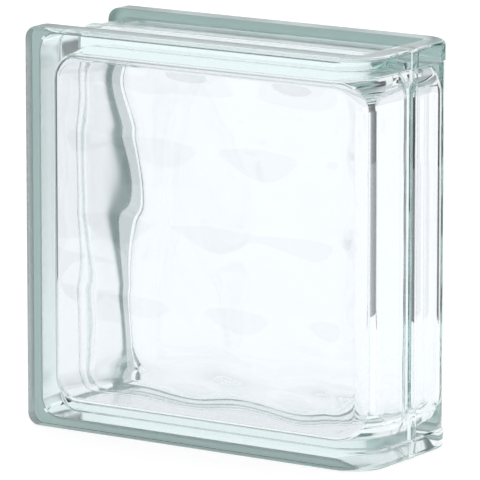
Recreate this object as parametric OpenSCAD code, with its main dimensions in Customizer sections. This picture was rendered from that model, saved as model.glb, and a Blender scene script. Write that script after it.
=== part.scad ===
// Hollow glass block, linear end type: two pressed glass halves fused face to face.
// X runs along the width and +X is the finished end. Y is the thickness and Z is up.
// The origin is the centre of the underside, on the seam between the halves.

/* [Block] */
// Overall width, from the open left side to the seam bead of the finished end
block_w = 190; // [120:1:300]
// Overall height
block_h = 190; // [120:1:300]
// Overall thickness from face to face
block_t = 80; // [70:1:110]
// Rounding along the edges of the two faces
edge_r = 2; // [0.5:0.25:3]

/* [Lips and mortar channel] */
// Width of each lip beside the mortar channel
lip_w = 12; // [8:0.5:16]
// Corner radius of a lip at the open left side
lip_corner_r = 6; // [3:0.5:9]
// Depth of the mortar channel below the lips
channel_d = 4; // [2:0.25:6]
// Corner radius of the channel floor at the open left side
floor_corner_r = 9; // [6:0.5:12]

/* [Finished end] */
// Radius of the upright corners of the finished end
end_corner_r = 18; // [10:0.5:22]
// Width of the level top of the end rim that closes the channel
end_rim_w = 12; // [8:0.5:20]
// Length of the slope from the channel floor up to the end rim
end_ramp_l = 9; // [2:0.5:14]
// Height of the rim bands at the top and bottom of the finished end
band_h = 9; // [5:0.5:14]
// Depth of the panel between the rim bands
panel_d = 1; // [0.3:0.1:1.5]

/* [Seam bead] */
// Width of the seam bead over both halves
bead_w = 6; // [3:0.5:8]
// Height of the seam bead above the channel floor
bead_h = 1; // [0.5:0.1:1.8]
// Height of the seam bead above the rim bands of the finished end
end_bead_h = 1; // [0.3:0.1:1.5]

/* [Hollow] */
// Thickness of the glass at the faces, behind the hollows of the waves
face_t = 9; // [7:0.5:12]
// Thickness of the side walls at the seam
wall_t = 6; // [4:0.5:10]
// Taper of a side wall from the seam to the face
wall_draft = 2; // [0:0.25:4]
// Corner radius of the hollow at the seam
hollow_corner_r = 14; // [12:0.5:20]
// Rounding between the side walls and the faces
hollow_fillet_r = 4; // [3:0.5:8]

/* [Waves] */
// Height of the waves on the inner faces
wave_a = 2.2; // [0:0.1:2.5]
// Distance from crest to crest of the long waves
long_pitch = 61; // [45:1:140]
// Distance from crest to crest of the cross waves
cross_pitch = 46; // [35:1:120]
// Distance between the narrow folds that run across the face
fold_pitch = 37.5; // [30:0.5:80]

/* [Hidden] */

half_t = block_t / 2;
left_x = -block_w / 2;
rim_x = block_w / 2 - end_bead_h;
panel_x = rim_x - panel_d;
floor_x = left_x + channel_d;
cut = 1;

edge_steps = 32;
corner_steps = 96;

hollow_d = half_t - face_t;
hollow_w = panel_x - floor_x - 2 * wall_t;
hollow_h = block_h - 2 * channel_d - 2 * wall_t;
hollow_x = (panel_x + floor_x) / 2;
corner_parts = 5;
side_parts = 14;
fillet_parts = 4;
face_rings = 16;

// Directions of the waves and of the step from fold to fold, from the X axis, with their phases
long_dir = -12;
long_phase = 156;
cross_dir = 30;
cross_phase = 59;
fold_dir = 90;
fold_phase = -54;
// How much a fold is softened at its bottom
fold_soft = 0.002;

// Angle of a wave that runs in a direction, at one place on a face
function along(x, z, dir, pitch) = 360 * (x * cos(dir) + z * sin(dir)) / pitch;

// Height of the waves at one place on a face. One mould pressed both halves.
function wave(x, z) =
    wave_a * (0.34 * cos(along(x, z, long_dir, long_pitch) + long_phase)
        + 0.15 * cos(along(x, z, cross_dir, cross_pitch) + cross_phase)
        + 0.5 * sqrt(pow(sin(along(x, z, fold_dir, 2 * fold_pitch) + fold_phase), 2) + fold_soft));

// The waves die away just before the rounding around a face
fade_power = 16;
function fade(s) = 1 - pow(s, fade_power);

// One corner arc and the straight side after it, for a round-cornered rectangle
function quarter(w, h, r, turn) = let (
        swap = turn % 180 != 0,
        a = swap ? h / 2 : w / 2,
        b = swap ? w / 2 : h / 2
    ) concat(
        [for (i = [0 : corner_parts]) let (t = 90 * i / corner_parts)
            [a - r + r * cos(t), b - r + r * sin(t)]],
        [for (i = [1 : side_parts - 1]) [(a - r) * (1 - 2 * i / side_parts), b]]
    );

function turned(p, t) = [p[0] * cos(t) - p[1] * sin(t), p[0] * sin(t) + p[1] * cos(t)];

// Outline of the hollow, inset from its outline at the seam
function outline(inset) = [
    for (t = [0 : 90 : 270])
        for (p = quarter(hollow_w - 2 * inset, hollow_h - 2 * inset, hollow_corner_r - inset, t))
            turned(p, t)
];

// Inset and depth of the rings that make the wall, its rounding and the face
wall_rings = concat(
    [[0, -cut], [wall_draft, hollow_d - hollow_fillet_r]],
    [for (i = [1 : fillet_parts]) let (t = 90 * i / fillet_parts)
        [wall_draft + hollow_fillet_r * (1 - cos(t)), hollow_d - hollow_fillet_r * (1 - sin(t))]]
);
face_inset = wall_draft + hollow_fillet_r;

wall_points = [for (ring = wall_rings) for (p = outline(ring[0])) [p[0], p[1], ring[1]]];
face_points = [
    for (k = [face_rings - 1 : -1 : 1]) let (s = k / face_rings)
        for (p = outline(face_inset))
            [p[0] * s, p[1] * s, hollow_d + wave(p[0] * s, p[1] * s) * fade(s)]
];
middle_point = [0, 0, hollow_d + wave(0, 0)];

ring_size = len(outline(0));
ring_count = len(wall_rings) + face_rings - 1;

hollow_faces = concat(
    [[for (i = [0 : ring_size - 1]) i]],
    [for (k = [0 : ring_count - 2]) for (i = [0 : ring_size - 1]) let (j = (i + 1) % ring_size)
        [k * ring_size + i, (k + 1) * ring_size + i, (k + 1) * ring_size + j]],
    [for (k = [0 : ring_count - 2]) for (i = [0 : ring_size - 1]) let (j = (i + 1) % ring_size)
        [k * ring_size + i, (k + 1) * ring_size + j, k * ring_size + j]],
    [for (i = [0 : ring_size - 1]) let (j = (i + 1) % ring_size)
        [(ring_count - 1) * ring_size + i, ring_count * ring_size, (ring_count - 1) * ring_size + j]]
);

// The hollow of one half, which opens at the seam and ends in the waves of the face
module hollow() {
    translate([hollow_x, 0, block_h / 2])
        rotate([90, 0, 0])
            polyhedron(concat(wall_points, face_points, [middle_point]), hollow_faces, convexity = 6);
}

// A disc about the Y axis with its edge rounded on the side of the face
module lip_corner(z) {
    translate([left_x + lip_corner_r, 0, z])
        rotate([90, 0, 0]) {
            cylinder(r = lip_corner_r, h = half_t - edge_r, $fn = corner_steps);
            cylinder(r = lip_corner_r - edge_r, h = half_t, $fn = corner_steps);
            translate([0, 0, half_t - edge_r])
                rotate_extrude($fn = corner_steps)
                    translate([lip_corner_r - edge_r, 0])
                        circle(edge_r, $fn = edge_steps);
        }
}

// An upright post for a corner of the finished end, with its ends rounded
module end_corner() {
    translate([rim_x - end_corner_r, -half_t + end_corner_r, 0])
        rotate_extrude($fn = corner_steps) {
            translate([0, edge_r])
                square([end_corner_r, block_h - 2 * edge_r]);
            square([end_corner_r - edge_r, block_h]);
            for (z = [edge_r, block_h - edge_r])
                translate([end_corner_r - edge_r, z])
                    circle(edge_r, $fn = edge_steps);
        }
}

// One half as a solid block, before the channel, the panel and the hollow are taken out
module envelope() {
    hull() {
        lip_corner(lip_corner_r);
        lip_corner(block_h - lip_corner_r);
        end_corner();
        for (z = [edge_r, block_h - edge_r])
            translate([rim_x - edge_r, 0, z])
                rotate([90, 0, 0])
                    cylinder(r = edge_r, h = half_t - end_corner_r, $fn = edge_steps);
    }
}

// What is cut away above, below and to the left of the channel floor
module channel() {
    rotate([90, 0, 0])
        linear_extrude(height = 2 * (half_t - lip_w), center = true)
            difference() {
                translate([left_x - cut, -cut])
                    square([rim_x - end_rim_w - left_x + cut, block_h + 2 * cut]);
                floor_outline();
            }
}

// Outline of the channel floor, which slopes up to the end rim
module floor_outline() {
    ramp_x = rim_x - end_rim_w;
    top = block_h - channel_d;
    translate([floor_x + floor_corner_r, channel_d])
        square([ramp_x - end_ramp_l - floor_x - floor_corner_r, top - channel_d]);
    translate([floor_x, channel_d + floor_corner_r])
        square([ramp_x - floor_x, top - channel_d - 2 * floor_corner_r]);
    for (z = [channel_d + floor_corner_r, top - floor_corner_r])
        translate([floor_x + floor_corner_r, z])
            circle(floor_corner_r, $fn = corner_steps);
    polygon([
        [ramp_x - end_ramp_l, channel_d],
        [ramp_x, 0],
        [ramp_x + cut, 0],
        [ramp_x + cut, block_h],
        [ramp_x, block_h],
        [ramp_x - end_ramp_l, top]
    ]);
}

// The thin layer that is missing between the rim bands of the finished end
module panel() {
    translate([0, 0, band_h])
        linear_extrude(height = block_h - 2 * band_h)
            difference() {
                translate([panel_x - end_corner_r, -half_t - cut])
                    square([end_corner_r + panel_d + cut, half_t + 2 * cut]);
                translate([panel_x - end_corner_r, -half_t + end_corner_r])
                    circle(end_corner_r, $fn = corner_steps);
                translate([panel_x - end_corner_r - cut, -half_t + end_corner_r])
                    square([end_corner_r + cut, half_t]);
            }
}

// Section of one half of the bead: a low arch, with x outwards from the glass it stands on
module bead_section(rise) {
    arch_r = (pow(bead_w / 2, 2) + pow(rise, 2)) / (2 * rise);
    intersection() {
        translate([rise - arch_r, 0])
            circle(arch_r, $fn = corner_steps);
        translate([-cut, -bead_w / 2])
            square([rise + cut, bead_w / 2]);
    }
}

// The bead along the channel floor: over the top, down the left side and back underneath
module channel_bead() {
    run_x = rim_x - end_rim_w - end_ramp_l / 2;
    bend_x = floor_x + floor_corner_r;
    for (side = [0, 1])
        translate([0, 0, side * block_h])
            mirror([0, 0, side]) {
                translate([bend_x, 0, channel_d])
                    rotate([0, 90, 0])
                        linear_extrude(height = run_x - bend_x)
                            bead_section(bead_h);
                translate([bend_x, 0, channel_d + floor_corner_r])
                    rotate([90, 0, 0])
                        rotate([0, 0, 180])
                            rotate_extrude(angle = 90, $fn = corner_steps)
                                translate([floor_corner_r, 0])
                                    mirror([0, 1])
                                        bead_section(bead_h);
            }
    translate([floor_x, 0, channel_d + floor_corner_r])
        linear_extrude(height = block_h - 2 * (channel_d + floor_corner_r))
            mirror([1, 0])
                bead_section(bead_h);
}

// The bead up the finished end, which curves in over the rim at its top and bottom
module end_bead() {
    rise = panel_d + end_bead_h;
    bend_r = 2 * edge_r;
    translate([panel_x, 0, bend_r + rise])
        linear_extrude(height = block_h - 2 * (bend_r + rise))
            bead_section(rise);
    for (side = [0, 1])
        translate([0, 0, side * block_h])
            mirror([0, 0, side])
                translate([panel_x - bend_r, 0, bend_r + rise])
                    rotate([90, 0, 0])
                        rotate([0, 0, -90])
                            rotate_extrude(angle = 90, $fn = corner_steps)
                                translate([bend_r, 0])
                                    mirror([0, 1])
                                        bead_section(rise);
}

// One pressed half, with its face towards -Y and its seam on the plane Y = 0
module half() {
    difference() {
        union() {
            difference() {
                envelope();
                channel();
                panel();
            }
            channel_bead();
            end_bead();
        }
        hollow();
    }
}

module front_half() {
    color([0.78, 0.85, 0.86, 0.6])
        half();
}

module back_half() {
    color([0.74, 0.82, 0.83, 0.6])
        mirror([0, 1, 0])
            half();
}

front_half();
back_half();
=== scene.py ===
import math

import bmesh
import bpy
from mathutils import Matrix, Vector, noise


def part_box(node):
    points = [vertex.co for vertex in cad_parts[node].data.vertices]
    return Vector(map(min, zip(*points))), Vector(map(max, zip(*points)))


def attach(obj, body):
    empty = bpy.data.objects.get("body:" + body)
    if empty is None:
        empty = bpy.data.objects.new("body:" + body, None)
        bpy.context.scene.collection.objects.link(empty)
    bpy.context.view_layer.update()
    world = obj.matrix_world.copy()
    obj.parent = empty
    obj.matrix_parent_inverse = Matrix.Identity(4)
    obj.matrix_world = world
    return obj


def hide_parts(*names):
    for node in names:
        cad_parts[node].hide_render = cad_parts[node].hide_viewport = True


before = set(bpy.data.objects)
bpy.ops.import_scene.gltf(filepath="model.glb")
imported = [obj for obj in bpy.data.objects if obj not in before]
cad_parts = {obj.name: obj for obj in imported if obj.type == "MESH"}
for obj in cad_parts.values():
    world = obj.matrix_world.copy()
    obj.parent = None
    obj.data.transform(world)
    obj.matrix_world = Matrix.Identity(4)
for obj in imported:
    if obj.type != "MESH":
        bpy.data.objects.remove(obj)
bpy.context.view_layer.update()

# ---------------------------------------------------------------------------------------------
# The outside of the block. Two soda-lime glass halves come out of one press mould, and their
# rims are melted and pushed together, so the outside is one skin of glass with a seam bead.
# The lips along both faces and the rim of the finished end stand around the mortar channel.

front_low, front_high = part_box("front_half")
back_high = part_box("back_half")[1]
MM = 0.001

END_BEAD_RISE = 1 * MM
LEFT_X = front_low.x
RIM_X = front_high.x - END_BEAD_RISE
FRONT_Y = front_low.y
BACK_Y = back_high.y
TOP_Z = front_high.z
THICKNESS = BACK_Y - FRONT_Y
NEAR = 0.02 * MM

LIP_Y = BACK_Y - 12 * MM
CHANNEL_DEPTH = 4 * MM
RIM_INNER_X = RIM_X - 12 * MM
RAMP_LENGTH = 9 * MM
END_CORNER = 18 * MM
LIP_CORNER = 6 * MM
FLOOR_CORNER = 9 * MM
EDGE_ROUND = 2 * MM
MOUTH_ROUND = 1.1 * MM
FLOOR_ROUND = 1.6 * MM
BEAD_HALF = 3 * MM
BEAD_RISE = 1 * MM
BAND = 9 * MM
PANEL_DEPTH = 1 * MM
FACING = 0.9


def pick(kind, wanted):
    """Selects only the vertices, edges or faces that pass a test."""
    bpy.ops.mesh.select_mode(type=kind)
    bpy.ops.mesh.select_all(action="DESELECT")
    shape = bmesh.from_edit_mesh(bpy.context.edit_object.data)
    parts = {"VERT": shape.verts, "EDGE": shape.edges, "FACE": shape.faces}[kind]
    for part in parts:
        if wanted(part):
            part.select_set(True)
    shape.select_flush_mode()
    bmesh.update_edit_mesh(bpy.context.edit_object.data)


def near(a, b):
    return abs(a - b) < NEAR


def ends(edge):
    return edge.verts[0].co, edge.verts[1].co


def cut_all(point, normal):
    """Cuts the selected faces along a plane and keeps both sides."""
    bpy.ops.mesh.bisect(plane_co=point, plane_no=normal, threshold=NEAR / 20)


def start_block(name, low, high):
    """A box between two corners, left in edit mode with its place in its mesh."""
    bpy.ops.object.select_all(action="DESELECT")
    bpy.ops.mesh.primitive_cube_add(size=1, location=(low + high) / 2, scale=high - low)
    block = bpy.context.active_object
    block.name = name
    block.data.name = name
    bpy.ops.object.transform_apply(location=True, rotation=True, scale=True)
    bpy.ops.object.mode_set(mode="EDIT")
    return block


outside = start_block(
    "glass_block", Vector((LEFT_X, FRONT_Y, 0)), Vector((RIM_X, BACK_Y, TOP_Z)))

# The two upright corners of the finished end are well rounded
pick("EDGE", lambda e: all(near(p.x, RIM_X) for p in ends(e))
     and near(ends(e)[0].y, ends(e)[1].y))
bpy.ops.mesh.bevel(offset=END_CORNER, segments=20, profile=0.5, affect="EDGES")

# The mortar channel goes down over the top, the left side and the underside
for y in (-LIP_Y, LIP_Y):
    pick("FACE", lambda f: abs(f.normal.z) > FACING or f.normal.x < -FACING)
    cut_all((0, y, 0), (0, 1, 0))
pick("FACE", lambda f: abs(f.calc_center_median().y) < LIP_Y and abs(f.normal.z) > FACING)
cut_all((RIM_INNER_X, 0, 0), (1, 0, 0))


def in_channel(face):
    middle = face.calc_center_median()
    return (abs(middle.y) < LIP_Y and middle.x < RIM_INNER_X
            and (abs(face.normal.z) > FACING or face.normal.x < -FACING))


pick("FACE", in_channel)
bpy.ops.mesh.extrude_region()
bpy.ops.transform.shrink_fatten(value=-CHANNEL_DEPTH, use_even_offset=True)
FLOOR_X = LEFT_X + CHANNEL_DEPTH
FLOOR_Z = (CHANNEL_DEPTH, TOP_Z - CHANNEL_DEPTH)


def at_floor(z):
    return near(z, FLOOR_Z[0]) or near(z, FLOOR_Z[1])


def at_lip(z):
    return near(z, 0) or near(z, TOP_Z)


def level(edge):
    return near(edge.verts[0].co.z, edge.verts[1].co.z)


# At the finished end the channel floor slopes up to the rim
pick("VERT", lambda v: near(v.co.x, RIM_INNER_X) and at_floor(v.co.z))
bpy.ops.transform.translate(value=(-RAMP_LENGTH, 0, 0))

# The lips and the channel floor have round corners at the open side
bpy.ops.mesh.select_all(action="SELECT")
bpy.ops.mesh.dissolve_limited(angle_limit=math.radians(0.1))
pick("EDGE", lambda e: all(near(p.x, LEFT_X) and at_lip(p.z) for p in ends(e)) and level(e))
bpy.ops.mesh.bevel(offset=LIP_CORNER, segments=12, profile=0.5, affect="EDGES")
pick("EDGE", lambda e: all(near(p.x, FLOOR_X) and at_floor(p.z) for p in ends(e)) and level(e))
bpy.ops.mesh.bevel(offset=FLOOR_CORNER, segments=14, profile=0.5, affect="EDGES")

# Every outer edge is fire-polished round, and so are the mouth and the floor of the channel
SHARP_TURN = 0.6
SOFT_TURN = 0.35


def turn_of(edge):
    """Angle between the two faces of an edge, above zero where the edge stands out."""
    return edge.calc_face_angle_signed(0)


def in_mouth(edge):
    return all(abs(p.y) < LIP_Y + NEAR and p.x < RIM_INNER_X + NEAR for p in ends(edge))


pick("EDGE", lambda e: turn_of(e) > SHARP_TURN and not in_mouth(e))
bpy.ops.mesh.bevel(offset=EDGE_ROUND, segments=6, profile=0.5, affect="EDGES")
pick("EDGE", lambda e: turn_of(e) > SOFT_TURN and in_mouth(e))
bpy.ops.mesh.bevel(offset=MOUTH_ROUND, segments=4, profile=0.5, affect="EDGES")
pick("EDGE", lambda e: turn_of(e) < -SOFT_TURN)
bpy.ops.mesh.bevel(offset=FLOOR_ROUND, segments=4, profile=0.5, affect="EDGES")

# Between the rim bands the finished end is a panel that lies a little lower
BAND_SLOPE = 1.2 * MM
BAND_CUTS = 6
CORNER_START_X = RIM_X - END_CORNER


def at_end(face):
    return face.calc_center_median().x > CORNER_START_X and abs(face.normal.z) < 0.1


def panel_share(z):
    """How much of the panel's depth is reached at a height: 0 on the rim bands, 1 between them."""
    from_edge = min(z, TOP_Z - z) - BAND
    share = min(max(from_edge / BAND_SLOPE + 0.5, 0), 1)
    return share * share * (3 - 2 * share)


for side in (0, 1):
    for step in range(BAND_CUTS + 1):
        z = BAND + BAND_SLOPE * (step / BAND_CUTS - 0.5)
        pick("FACE", at_end)
        cut_all((0, 0, TOP_Z - z if side else z), (0, 0, 1))
shape = bmesh.from_edit_mesh(outside.data)
for vertex in shape.verts:
    beyond = vertex.co.x - CORNER_START_X
    if beyond > 0:
        vertex.co.x -= beyond * panel_share(vertex.co.z) * PANEL_DEPTH / END_CORNER
bmesh.update_edit_mesh(outside.data)

# The seam bead: a round ridge in the channel and up the finished end
BEAD_STEPS = 6
for step in range(-BEAD_STEPS, BEAD_STEPS + 1):
    bpy.ops.mesh.select_all(action="SELECT")
    cut_all((0, BEAD_HALF * math.sin(math.pi / 2 * step / BEAD_STEPS), 0), (0, 1, 0))


def bead_move(place, normal):
    """How the bead lifts a place on the skin: along the normal, and level at the finished end."""
    across = math.sqrt(max(1 - (place.y / BEAD_HALF) ** 2, 0))
    if place.x > RIM_INNER_X:
        rise = END_BEAD_RISE + PANEL_DEPTH * panel_share(place.z)
        return Vector((across * rise * max(normal.x, 0), 0, 0))
    along_ramp = (RIM_INNER_X - place.x) / RAMP_LENGTH
    return normal * across * BEAD_RISE * min(max(along_ramp, 0), 1)


shape = bmesh.from_edit_mesh(outside.data)
shape.normal_update()
moves = [(vertex, bead_move(vertex.co, vertex.normal)) for vertex in shape.verts]
for vertex, move in moves:
    vertex.co += move
bmesh.update_edit_mesh(outside.data)
bpy.ops.object.mode_set(mode="OBJECT")

# ---------------------------------------------------------------------------------------------
# The hollow inside the block, pressed by the plunger of the mould. Its side walls taper to the
# faces, its corners are round, and both faces carry the waves and narrow folds of the pattern.

FACE_THICK = 9 * MM
WALL_THICK = 6 * MM
WALL_TAPER = 2 * MM
HOLLOW_CORNER = 14 * MM
HOLLOW_FILLET = 4 * MM
WAVE_CELL = 2.6 * MM
WALL_CELL = 4 * MM

hollow_low = Vector((FLOOR_X + WALL_THICK, FRONT_Y + FACE_THICK, CHANNEL_DEPTH + WALL_THICK))
hollow_high = Vector((RIM_X - PANEL_DEPTH - WALL_THICK, BACK_Y - FACE_THICK,
                      TOP_Z - CHANNEL_DEPTH - WALL_THICK))
hollow_middle = (hollow_low + hollow_high) / 2
hollow_size = hollow_high - hollow_low
inside = start_block("hollow", hollow_low, hollow_high)


def runs_along_y(edge):
    a, b = ends(edge)
    return abs(a.y - b.y) > THICKNESS / 4


pick("EDGE", runs_along_y)
bpy.ops.mesh.bevel(offset=HOLLOW_CORNER, segments=14, profile=0.5, affect="EDGES")

# The seam is cut in first, so that the walls taper both ways from it
bpy.ops.mesh.select_all(action="SELECT")
cut_all(hollow_middle, (0, 1, 0))
pick("VERT", lambda v: abs(v.co.y - hollow_middle.y) > hollow_size.y / 4)
bpy.ops.transform.resize(
    value=(1 - 2 * WALL_TAPER / hollow_size.x, 1, 1 - 2 * WALL_TAPER / hollow_size.z),
    center_override=hollow_middle)
pick("EDGE", lambda e: e.calc_face_angle(0) > 0.8)
bpy.ops.mesh.bevel(offset=HOLLOW_FILLET, segments=8, profile=0.5, affect="EDGES")

# A fine grid over the faces and the walls gives the waves and the inner bead their points


def cut_rows(axis, low, high, cell):
    rows = math.ceil((high - low) / cell)
    normal = [0, 0, 0]
    normal[axis] = 1
    for row in range(1, rows):
        point = [0, 0, 0]
        point[axis] = low + (high - low) * row / rows
        bpy.ops.mesh.select_all(action="SELECT")
        cut_all(point, normal)


cut_rows(0, hollow_low.x, hollow_high.x, WAVE_CELL)
cut_rows(2, hollow_low.z, hollow_high.z, WAVE_CELL)
cut_rows(1, hollow_low.y, hollow_high.y, WALL_CELL)

# Glass that was pushed inwards stands along the seam as a low, uneven bead
INNER_BEAD_HALF = 2.2 * MM
INNER_BEAD_RISE = 1.3 * MM
BEAD_UNEVENNESS = 0.35
UNEVENNESS_SCALE = 60
cut_rows(1, -INNER_BEAD_HALF, INNER_BEAD_HALF, INNER_BEAD_HALF / 4)

# The waves of the pattern: the share of each in the height, its pitch, its direction from the X
# axis and its phase, both in degrees
WAVE_HEIGHT = 2.2 * MM
LONG_SHARE = 0.34
LONG_PITCH = 61 * MM
LONG_DIRECTION = -12
LONG_PHASE = 156
CROSS_SHARE = 0.15
CROSS_PITCH = 46 * MM
CROSS_DIRECTION = 30
CROSS_PHASE = 59
FOLD_SHARE = 0.5
FOLD_PITCH = 37.5 * MM
FOLD_DIRECTION = 90
FOLD_PHASE = -54
FOLD_SOFTNESS = 0.002
FADE_POWER = 16


def along(x, z, direction, pitch, phase):
    """Angle of a wave that runs in a direction on the face, at a place."""
    turn = math.radians(direction)
    steps = (x * math.cos(turn) + z * math.sin(turn)) / pitch
    return 2 * math.pi * steps + math.radians(phase)


def wave(x, z):
    """Height of two crossing waves and of the narrow folds, at a place on a face."""
    fold = math.sin(along(x, z, FOLD_DIRECTION, FOLD_PITCH * 2, FOLD_PHASE))
    return WAVE_HEIGHT * (
        LONG_SHARE * math.cos(along(x, z, LONG_DIRECTION, LONG_PITCH, LONG_PHASE))
        + CROSS_SHARE * math.cos(along(x, z, CROSS_DIRECTION, CROSS_PITCH, CROSS_PHASE))
        + FOLD_SHARE * math.sqrt(fold * fold + FOLD_SOFTNESS))


def face_fade(x, z):
    """1 over most of a face, and 0 where its rounding starts."""
    inset = WALL_TAPER + HOLLOW_FILLET
    reach_x = abs(x) / (hollow_size.x / 2 - inset)
    reach_z = abs(z) / (hollow_size.z / 2 - inset)
    return max(1 - max(reach_x, reach_z) ** FADE_POWER, 0)


shape = bmesh.from_edit_mesh(inside.data)
shape.normal_update()
moves = []
for vertex in shape.verts:
    place = vertex.co - hollow_middle
    if abs(vertex.normal.y) > 0.999:
        # The same mould pressed both faces, so each swells out at the same places
        lift = wave(place.x, place.z) * face_fade(place.x, place.z)
        outwards = 1 if place.y > 0 else -1
        moves.append((vertex, Vector((0, outwards * lift, 0))))
    elif abs(place.y) < INNER_BEAD_HALF:
        across = 1 - (place.y / INNER_BEAD_HALF) ** 2
        uneven = 1 + BEAD_UNEVENNESS * noise.noise(vertex.co * UNEVENNESS_SCALE)
        moves.append((vertex, vertex.normal * -INNER_BEAD_RISE * across * uneven))
for vertex, move in moves:
    vertex.co += move
bmesh.update_edit_mesh(inside.data)
bpy.ops.mesh.select_all(action="SELECT")
bpy.ops.mesh.flip_normals()
bpy.ops.object.mode_set(mode="OBJECT")

# ---------------------------------------------------------------------------------------------
# Fusing. The molten rims join, so the two halves end up as one closed body of soda-lime glass.
# The skin is clear and fire-polished, apart from the sides of the lips and the channel floor,
# which are left satin to hold the mortar and carry painted shade in their colour.

SMOOTH_BELOW = math.radians(50)
FLAT_FACE_WEIGHT = 80
for skin in (outside, inside):
    bpy.ops.object.select_all(action="DESELECT")
    skin.select_set(True)
    bpy.context.view_layer.objects.active = skin
    bpy.ops.object.shade_smooth_by_angle(angle=SMOOTH_BELOW)
bpy.ops.object.select_all(action="DESELECT")
inside.select_set(True)
outside.select_set(True)
bpy.context.view_layer.objects.active = outside
bpy.ops.object.join()
block = bpy.context.active_object
weighted = block.modifiers.new("weighted", "WEIGHTED_NORMAL")
weighted.mode = "FACE_AREA"
weighted.weight = FLAT_FACE_WEIGHT
weighted.keep_sharp = True
bpy.ops.object.modifier_apply(modifier=weighted.name)

# How satin each part of the skin is and how much painted shade darkens its colour, from 0 where
# it is clear to 1 on the inner sides of the lips, which get the darkest painted shade
MORTAR_DEPTH = 5.5 * MM
LIP_INNER_SATIN_AND_SHADE = 1.0
LIP_OUTER_SATIN_AND_SHADE = 0.8
FLOOR_SATIN_AND_SHADE = 0.25
SIDE_FLOOR_SATIN_AND_SHADE = 0.4
MOST_OF_ROUND = 0.9


def satin_and_shade_of(face):
    """The satin finish and painted shade of a face of the block, from the side that it is on."""
    place = face.center
    if abs(face.normal.y) > 0.99 and near(abs(place.y), LIP_Y):
        return LIP_INNER_SATIN_AND_SHADE
    near_side = (place.x < LEFT_X + MORTAR_DEPTH or place.z < MORTAR_DEPTH
                 or place.z > TOP_Z - MORTAR_DEPTH)
    if not near_side or place.x > RIM_INNER_X - MM:
        return 0
    if abs(place.y) < LIP_Y - FLOOR_ROUND * MOST_OF_ROUND:
        return SIDE_FLOOR_SATIN_AND_SHADE if place.x < LEFT_X + MORTAR_DEPTH else FLOOR_SATIN_AND_SHADE
    if abs(place.y) < LIP_Y + MOUTH_ROUND:
        return LIP_INNER_SATIN_AND_SHADE
    if abs(place.y) < BACK_Y - EDGE_ROUND * MOST_OF_ROUND:
        return LIP_OUTER_SATIN_AND_SHADE
    return 0


satin_and_shade_share = block.data.attributes.new("satin_and_shade", "FLOAT", "FACE")
satin_and_shade_share.data.foreach_set("value", [satin_and_shade_of(face) for face in block.data.polygons])

# Clear along short ways through the glass, and grey-green along the long ways inside the lips
GLASS_IOR = 1.52
CLEAR_COLOUR = (0.945, 0.955, 0.975, 1)
# Painted shade: the dark grey-green mixed into the satin faces, darkest on the lips' inner sides
SATIN_SHADE_COLOUR = (0.15, 0.26, 0.24, 1)
TINT_COLOUR = (0.60, 0.86, 0.83, 1)
TINT_DENSITY = 5.5
SATIN_ROUGHNESS = 0.6
SHADE_CURVE = 3
GRAIN_SCALE = 900
REAM_SCALE = 28
REAM_SHARE = 0.5
RELIEF_HEIGHT = 0.03 * MM
RELIEF_STRENGTH = 0.3
glass = bpy.data.materials.new("pressed_glass")
glass.use_nodes = True
glass_nodes = glass.node_tree.nodes
glass_links = glass.node_tree.links
glass_shader = glass_nodes["Principled BSDF"]
glass_shader.inputs["IOR"].default_value = GLASS_IOR
glass_shader.inputs["Transmission Weight"].default_value = 1.0
tint = glass_nodes.new("ShaderNodeVolumeAbsorption")
tint.inputs["Color"].default_value = TINT_COLOUR
tint.inputs["Density"].default_value = TINT_DENSITY
glass_links.new(tint.outputs["Volume"], glass_nodes["Material Output"].inputs["Volume"])

# The satin mask sets how rough the finish is, and how far painted shade darkens its colour
satin_and_shade_mask = glass_nodes.new("ShaderNodeAttribute")
satin_and_shade_mask.attribute_name = "satin_and_shade"
painted_shade_mix = glass_nodes.new("ShaderNodeMix")
painted_shade_mix.data_type = "RGBA"
painted_shade_mix.inputs["A"].default_value = CLEAR_COLOUR
painted_shade_mix.inputs["B"].default_value = SATIN_SHADE_COLOUR
painted_shade_share = glass_nodes.new("ShaderNodeMath")
painted_shade_share.operation = "POWER"
painted_shade_share.inputs[1].default_value = SHADE_CURVE
glass_links.new(satin_and_shade_mask.outputs["Fac"], painted_shade_share.inputs[0])
glass_links.new(painted_shade_share.outputs["Value"], painted_shade_mix.inputs["Factor"])
glass_links.new(painted_shade_mix.outputs["Result"], glass_shader.inputs["Base Color"])
finish_rough = glass_nodes.new("ShaderNodeMath")
finish_rough.operation = "MULTIPLY"
finish_rough.inputs[1].default_value = SATIN_ROUGHNESS
glass_links.new(satin_and_shade_mask.outputs["Fac"], finish_rough.inputs[0])
glass_links.new(finish_rough.outputs["Value"], glass_shader.inputs["Roughness"])

# Fine relief: soft ream from the press all over, and grain where the skin is satin
grain = glass_nodes.new("ShaderNodeTexNoise")
grain.inputs["Scale"].default_value = GRAIN_SCALE
grain.inputs["Detail"].default_value = 3
ream = glass_nodes.new("ShaderNodeTexNoise")
ream.inputs["Scale"].default_value = REAM_SCALE
ream.inputs["Detail"].default_value = 1
places = glass_nodes.new("ShaderNodeTexCoord")
grain_height = glass_nodes.new("ShaderNodeMath")
grain_height.operation = "MULTIPLY"
relief = glass_nodes.new("ShaderNodeMath")
relief.operation = "MULTIPLY_ADD"
relief.inputs[1].default_value = REAM_SHARE
relief_bump = glass_nodes.new("ShaderNodeBump")
relief_bump.inputs["Strength"].default_value = RELIEF_STRENGTH
relief_bump.inputs["Distance"].default_value = RELIEF_HEIGHT
glass_links.new(places.outputs["Object"], grain.inputs["Vector"])
glass_links.new(places.outputs["Object"], ream.inputs["Vector"])
glass_links.new(grain.outputs["Fac"], grain_height.inputs[0])
glass_links.new(satin_and_shade_mask.outputs["Fac"], grain_height.inputs[1])
glass_links.new(ream.outputs["Fac"], relief.inputs[0])
glass_links.new(grain_height.outputs["Value"], relief.inputs[2])
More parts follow.
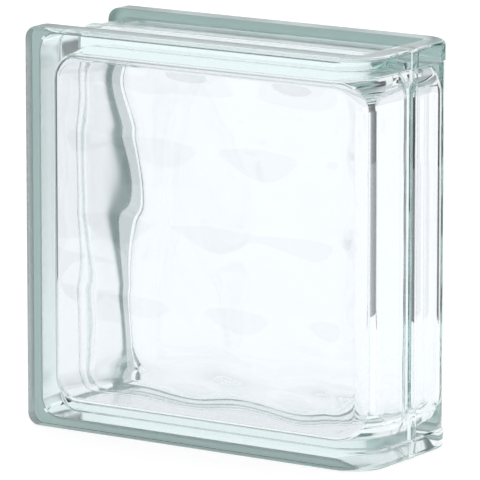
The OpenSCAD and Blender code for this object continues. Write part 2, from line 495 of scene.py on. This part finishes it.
glass_links.new(relief.outputs["Value"], relief_bump.inputs["Height"])
glass_links.new(relief_bump.outputs["Normal"], glass_shader.inputs["Normal"])
block.data.materials.clear()
block.data.materials.append(glass)
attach(block, "root")
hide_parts("front_half", "back_half")

# ---------------------------------------------------------------------------------------------
# The studio: a pale floor that glows a little, as a light table does, a plain pale room, three
# flags out of view, and the camera.

FLOOR_SIZE = 12
FLOOR_GREY = 0.3
FLOOR_GLOW = 0.83
bpy.ops.object.select_all(action="DESELECT")
bpy.ops.mesh.primitive_plane_add(size=FLOOR_SIZE, location=(0, 0, 0))
floor = bpy.context.active_object
floor.name = "floor"
paper = bpy.data.materials.new("light_table")
paper.use_nodes = True
paper_shader = paper.node_tree.nodes["Principled BSDF"]
paper_shader.inputs["Base Color"].default_value = (FLOOR_GREY, FLOOR_GREY, FLOOR_GREY, 1)
paper_shader.inputs["Roughness"].default_value = 0.9
paper_shader.inputs["Emission Color"].default_value = (1, 1, 1, 1)
paper_shader.inputs["Emission Strength"].default_value = FLOOR_GLOW
floor.data.materials.append(paper)

# The room is bright overhead and behind the block, and dim in front of it
DIM_ROOM = 0.05
BRIGHT_ROOM = 1.0
room = bpy.data.worlds.new("room")
bpy.context.scene.world = room
room.use_nodes = True
room_nodes = room.node_tree.nodes
direction = room_nodes.new("ShaderNodeTexCoord")
split = room_nodes.new("ShaderNodeSeparateXYZ")
ramp = room_nodes.new("ShaderNodeMapRange")
ramp.interpolation_type = "SMOOTHSTEP"
ramp.inputs["From Min"].default_value = -0.8
ramp.inputs["From Max"].default_value = -0.1
ramp.inputs["To Min"].default_value = DIM_ROOM
ramp.inputs["To Max"].default_value = BRIGHT_ROOM
room.node_tree.links.new(direction.outputs["Generated"], split.inputs[0])
room.node_tree.links.new(split.outputs["Y"], ramp.inputs["Value"])
room.node_tree.links.new(ramp.outputs["Result"], room_nodes["Background"].inputs["Color"])
room_nodes["Background"].inputs["Strength"].default_value = 1.0

# Flags stand out of view on both sides, as they do in glass photography: their height, how pale
# their cloth is, and the line that each stands on
FLAGS = (
    (0.7, 0.02, ((0.05, 0.52), (0.18, 0.53), (0.32, 0.48))),
    (0.7, 0.02, ((-0.42, -0.10), (-0.39, -0.20), (-0.35, -0.27))),
    (0.08, 0.3, ((0.04, 0.30), (0.12, 0.31), (0.24, 0.29))),
)
for number, (height, paleness, line) in enumerate(FLAGS):
    cloth = bpy.data.materials.new("flag_cloth_%d" % number)
    cloth.use_nodes = True
    cloth_shader = cloth.node_tree.nodes["Principled BSDF"]
    cloth_shader.inputs["Base Color"].default_value = (paleness, paleness, paleness, 1)
    cloth_shader.inputs["Roughness"].default_value = 1.0
    lower = [Vector((x, y, 0)) for x, y in line]
    upper = [corner + Vector((0, 0, height)) for corner in lower]
    mesh = bpy.data.meshes.new("flag")
    mesh.from_pydata(lower + upper, [], [(0, 1, 4, 3), (1, 2, 5, 4)])
    flag = bpy.data.objects.new("card_%d" % number, mesh)
    mesh.materials.append(cloth)
    bpy.context.scene.collection.objects.link(flag)
    flag.visible_camera = False
    flag.visible_shadow = False
    flag.visible_diffuse = False

# The camera looks a little down at the block, from the side of its finished end
CAMERA_TURN = math.radians(33.6)
CAMERA_RISE = math.radians(11.05)
CAMERA_DISTANCE = 2.576
CAMERA_AIM = Vector((-0.0003, -0.0009, 0.0923))
CAMERA_LENS = 416.2
SENSOR_WIDTH = 36
camera_data = bpy.data.cameras.new("camera")
camera_data.lens = CAMERA_LENS
camera_data.sensor_width = SENSOR_WIDTH
camera = bpy.data.objects.new("camera", camera_data)
bpy.context.scene.collection.objects.link(camera)
away = Vector((math.sin(CAMERA_TURN) * math.cos(CAMERA_RISE),
               -math.cos(CAMERA_TURN) * math.cos(CAMERA_RISE),
               math.sin(CAMERA_RISE)))
camera.location = CAMERA_AIM + away * CAMERA_DISTANCE
camera.rotation_mode = "QUATERNION"
camera.rotation_quaternion = away.to_track_quat("Z", "Y")
bpy.context.scene.camera = camera

# Light needs many turns to find its way out of thick glass
GLASS_BOUNCES = 32
light_paths = bpy.context.scene.cycles
light_paths.max_bounces = GLASS_BOUNCES
light_paths.transmission_bounces = GLASS_BOUNCES
light_paths.glossy_bounces = 16
bpy.context.scene.view_settings.view_transform = "Standard"
